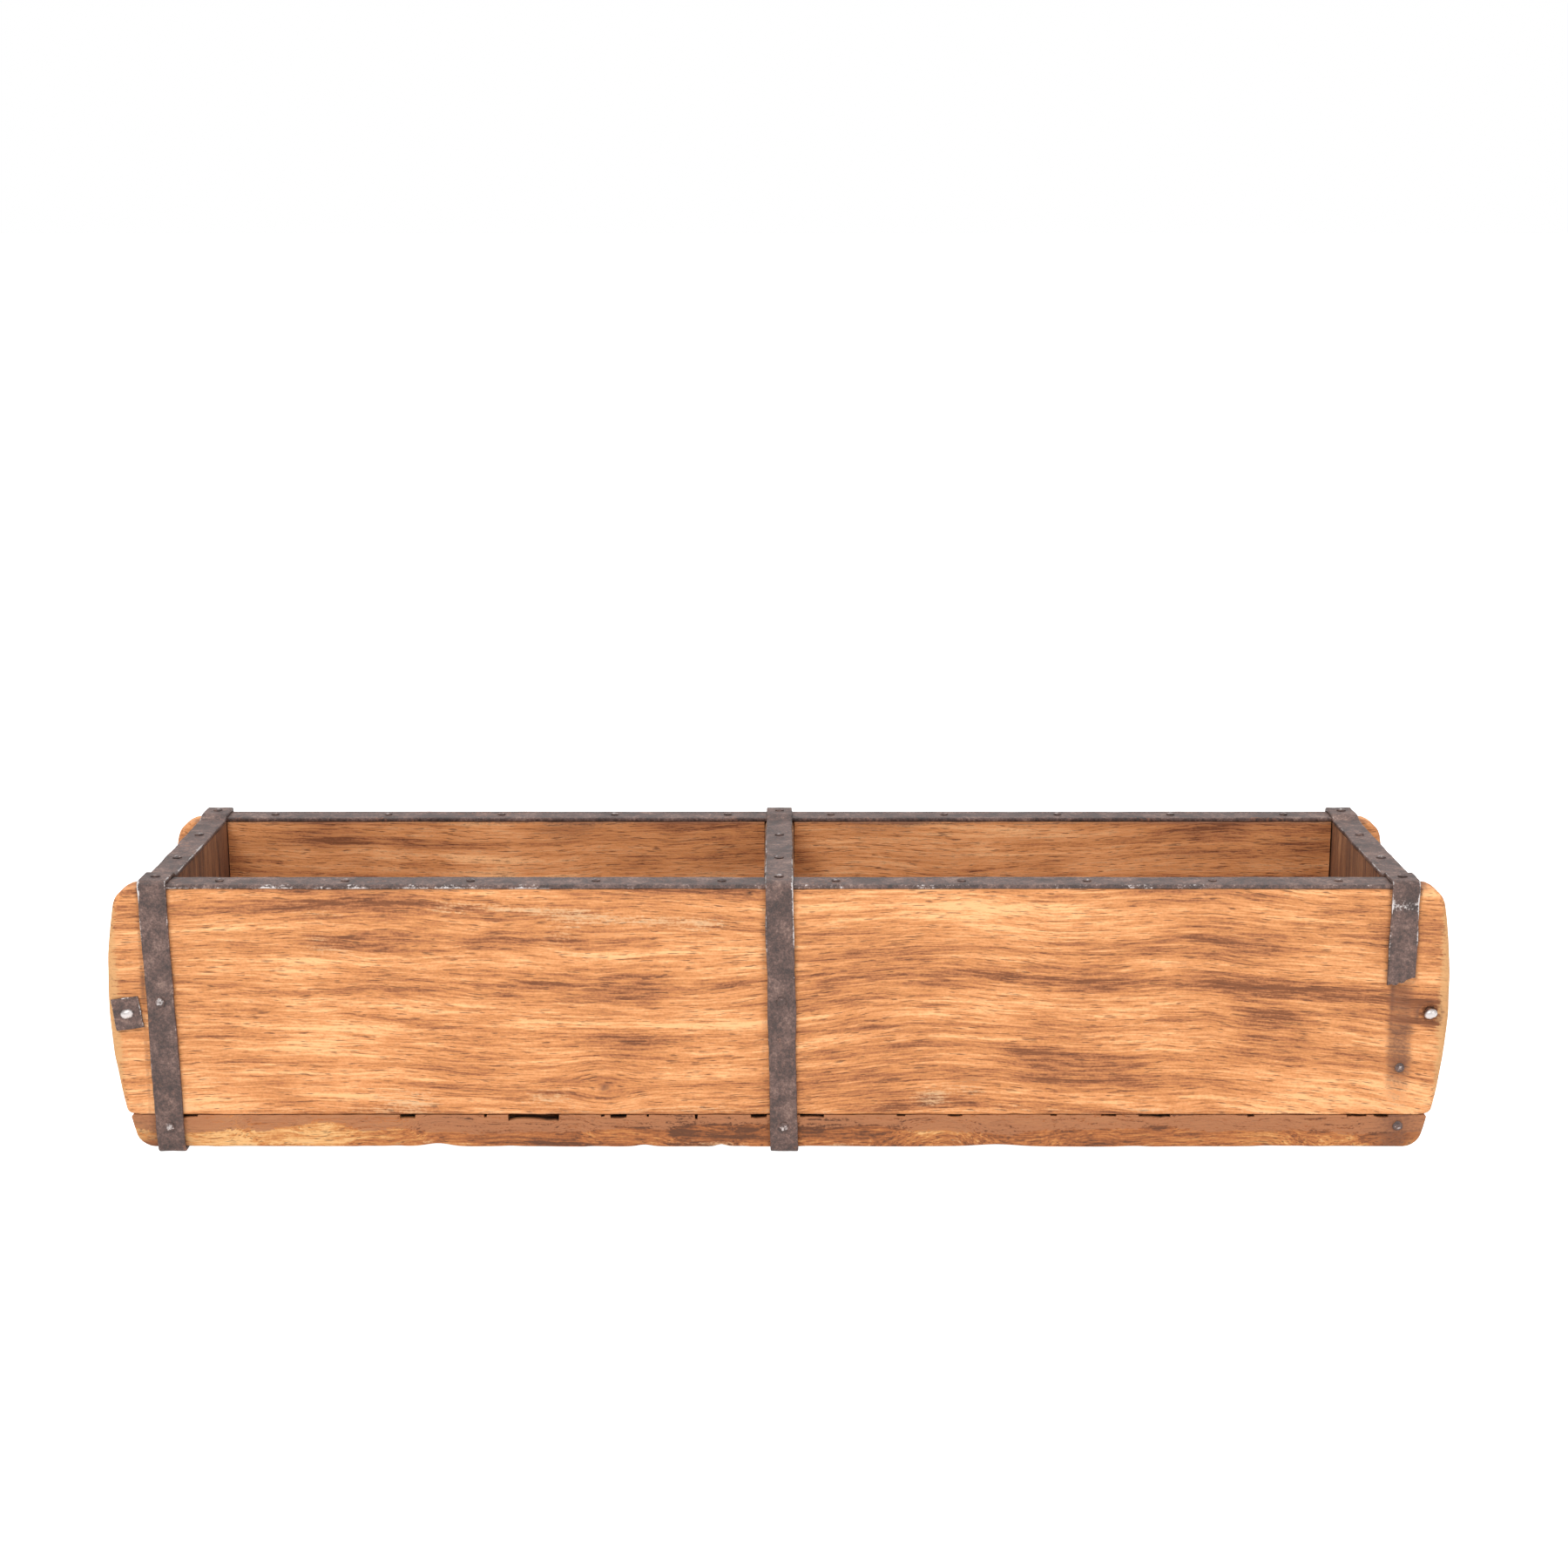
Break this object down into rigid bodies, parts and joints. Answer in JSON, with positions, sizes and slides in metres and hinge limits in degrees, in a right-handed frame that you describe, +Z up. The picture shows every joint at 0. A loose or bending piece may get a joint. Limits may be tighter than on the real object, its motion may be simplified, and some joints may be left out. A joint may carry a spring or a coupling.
{
  "type": "wooden brick mould",
  "caption": "Old two-bay wooden brick mould, used as a storage box, with iron rim bands, cross straps and tie rods.",
  "frame": {"origin": "middle of the box on the surface it stands on, under the middle of its bounding box", "axes": "+X to the right along the box, seen from the front; +Y from the front to the back; +Z up"},
  "size_m": [0.5906, 0.1662, 0.125],
  "materials": {
    "side_wood": "worn, oiled, open grain",
    "base_wood": "worn and dirty, with dried clay in the joint",
    "inner_wood": "dull, unoiled",
    "strap_iron": "dark rust, bright worn edges",
    "rod_steel": "rusted shank, bright peened ends"
  },
  "bodies": {
    "root": {"base_board": "base_wood", "front_side_board": "side_wood", "back_side_board": "side_wood", "left_end_board": "inner_wood", "right_end_board": "inner_wood", "centre_divider": "inner_wood", "front_rim_band": "strap_iron", "back_rim_band": "strap_iron", "left_strap": "strap_iron", "centre_strap": "strap_iron", "right_strap": "strap_iron", "left_tie_rod": "rod_steel", "right_tie_rod": "rod_steel", "front_left_washer": "strap_iron", "back_left_washer": "strap_iron", "back_right_washer": "strap_iron", "front_rim_nails": "strap_iron", "back_rim_nails": "strap_iron", "left_strap_nails": "strap_iron", "centre_strap_nails": "strap_iron", "right_strap_nails": "strap_iron", "base_nails": "strap_iron"}
  },
  "joints": []
}
